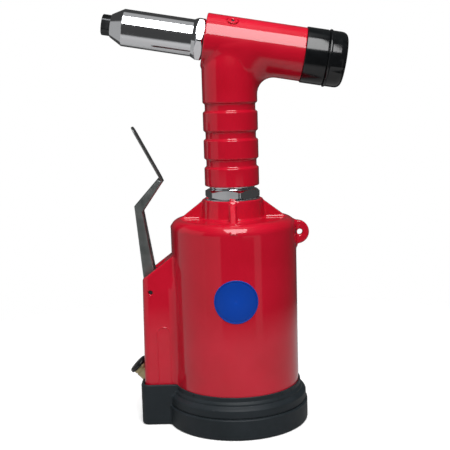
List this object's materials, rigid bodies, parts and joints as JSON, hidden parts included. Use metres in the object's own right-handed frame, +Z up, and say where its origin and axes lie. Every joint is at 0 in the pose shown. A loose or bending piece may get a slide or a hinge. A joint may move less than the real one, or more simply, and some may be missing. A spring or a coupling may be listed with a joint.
{
  "type": "pneumatic rivet gun",
  "caption": "Upright air-hydraulic blind rivet gun: round air cylinder in a rubber boot, grooved handle, tilted head with chrome nose and rear stem collector, and a sheet-metal trigger.",
  "frame": {"origin": "middle of the flat underside of the rubber boot, on the air cylinder's axis", "axes": "+Z up along the air cylinder and the handle, -X towards the nose, +X towards the stem collector, -Y the side with the badge and the oil screw"},
  "size_m": [0.1586, 0.0946, 0.2735],
  "materials": {
    "red_paint": "glossy crimson paint on cast aluminium",
    "boot_rubber": "satin moulded rubber",
    "seal_rubber": "satin",
    "black_cap": "glossy black",
    "black_steel": "black oxide steel",
    "trigger_steel": "dark phosphated sheet steel",
    "chrome": "polished chrome plate",
    "steel": "turned steel",
    "aluminium": "machined",
    "brass": "turned brass",
    "badge_blue": "glossy label"
  },
  "bodies": {
    "frame": {"air_cylinder": "red_paint", "end_cap": "aluminium", "end_cap_oring": "seal_rubber", "retaining_ring": "steel", "rubber_boot": "boot_rubber", "bottom_bumper": "boot_rubber", "top_bumper": "boot_rubber", "neck_tube": "chrome", "rod_guide": "brass", "rod_seal": "seal_rubber", "gland_nut": "steel", "lock_washer": "steel", "lock_nut": "chrome", "handle_head": "red_paint", "front_rod_seal": "seal_rubber", "nose_housing": "chrome", "nose_oring": "seal_rubber", "nose_piece": "black_steel", "bleed_screw": "red_paint", "bleed_washer": "brass", "rear_cap": "black_cap", "rear_cap_oring": "seal_rubber", "collector_oring": "seal_rubber", "return_spring": "steel", "valve_bushing": "brass", "bushing_orings": "seal_rubber", "valve_spring": "steel", "valve_plug": "brass", "trigger_pin": "black_steel", "air_inlet": "brass", "inlet_washer": "seal_rubber", "exhaust_muffler": "brass", "badge": "badge_blue"},
    "collector": {"collector_cup": "black_cap"},
    "air_ram": {"air_piston": "aluminium", "piston_seal": "seal_rubber", "piston_rod": "chrome", "piston_washer": "steel", "piston_nut": "steel"},
    "oil_ram": {"oil_piston": "steel", "oil_piston_seal": "seal_rubber", "mandrel_tube": "steel", "jaw_case": "steel", "jaw_lock_nut": "steel", "jaw_spring": "steel"},
    "jaw_a": {"jaw_1": "steel"},
    "jaw_b": {"jaw_2": "steel"},
    "jaw_c": {"jaw_3": "steel"},
    "pusher": {"jaw_pusher": "steel"},
    "trigger": {"trigger_lever": "trigger_steel"},
    "valve": {"valve_stem": "steel", "stem_orings": "seal_rubber"},
    "inlet_cap": {"dust_cap": "black_cap"}
  },
  "joints": [
    {"name": "trigger_pull", "type": "hinge", "parent": "frame", "child": "trigger", "pos_m": [-0.0556, 0, 0.09], "axis": [0, 1, 0], "range_deg": [0, 14], "stiffness_Nm_per_rad": 1.2, "springref_deg": -14.32},
    {"name": "valve_stroke", "type": "slide", "parent": "frame", "child": "valve", "axis": [0, 0, -1], "range_m": [0, 0.0021], "deforming": ["valve_spring"]},
    {"name": "air_ram_stroke", "type": "slide", "parent": "frame", "child": "air_ram", "axis": [0, 0, 1], "range_m": [0, 0.062]},
    {"name": "oil_ram_stroke", "type": "slide", "parent": "frame", "child": "oil_ram", "axis": [0.9848, 0, -0.1736], "range_m": [0, 0.0118], "stiffness_N_per_m": 3000, "springref_m": -0.005, "deforming": ["return_spring"]},
    {"name": "jaw_a_close", "type": "slide", "parent": "oil_ram", "child": "jaw_a", "axis": [-0.9062, 0, 0.4228], "range_m": [0, 0.00211]},
    {"name": "jaw_b_close", "type": "slide", "parent": "oil_ram", "child": "jaw_b", "axis": [-0.9737, -0.2243, 0.0402], "range_m": [0, 0.00211]},
    {"name": "jaw_c_close", "type": "slide", "parent": "oil_ram", "child": "jaw_c", "axis": [-0.9737, 0.2243, 0.0402], "range_m": [0, 0.00211]},
    {"name": "pusher_stroke", "type": "slide", "parent": "oil_ram", "child": "pusher", "axis": [-0.9848, 0, 0.1736], "range_m": [0, 0.00204], "deforming": ["jaw_spring"]},
    {"name": "collector_pull", "type": "slide", "parent": "frame", "child": "collector", "axis": [0.9848, 0, -0.1736], "range_m": [0, 0.045]},
    {"name": "dust_cap_pull", "type": "slide", "parent": "frame", "child": "inlet_cap", "axis": [-0.7071, 0, 0.7071], "range_m": [0, 0.06]}
  ],
  "couplings": [
    {"joint": "valve_stroke", "follows": "trigger_pull", "m_per_rad": 0.0084},
    {"joint": "oil_ram_stroke", "follows": "air_ram_stroke", "ratio": 0.18939},
    {"joint": "jaw_a_close", "follows": "air_ram_stroke", "ratio": 0.033871},
    {"joint": "jaw_b_close", "follows": "air_ram_stroke", "ratio": 0.033871},
    {"joint": "jaw_c_close", "follows": "air_ram_stroke", "ratio": 0.033871},
    {"joint": "pusher_stroke", "follows": "air_ram_stroke", "ratio": 0.032715}
  ]
}
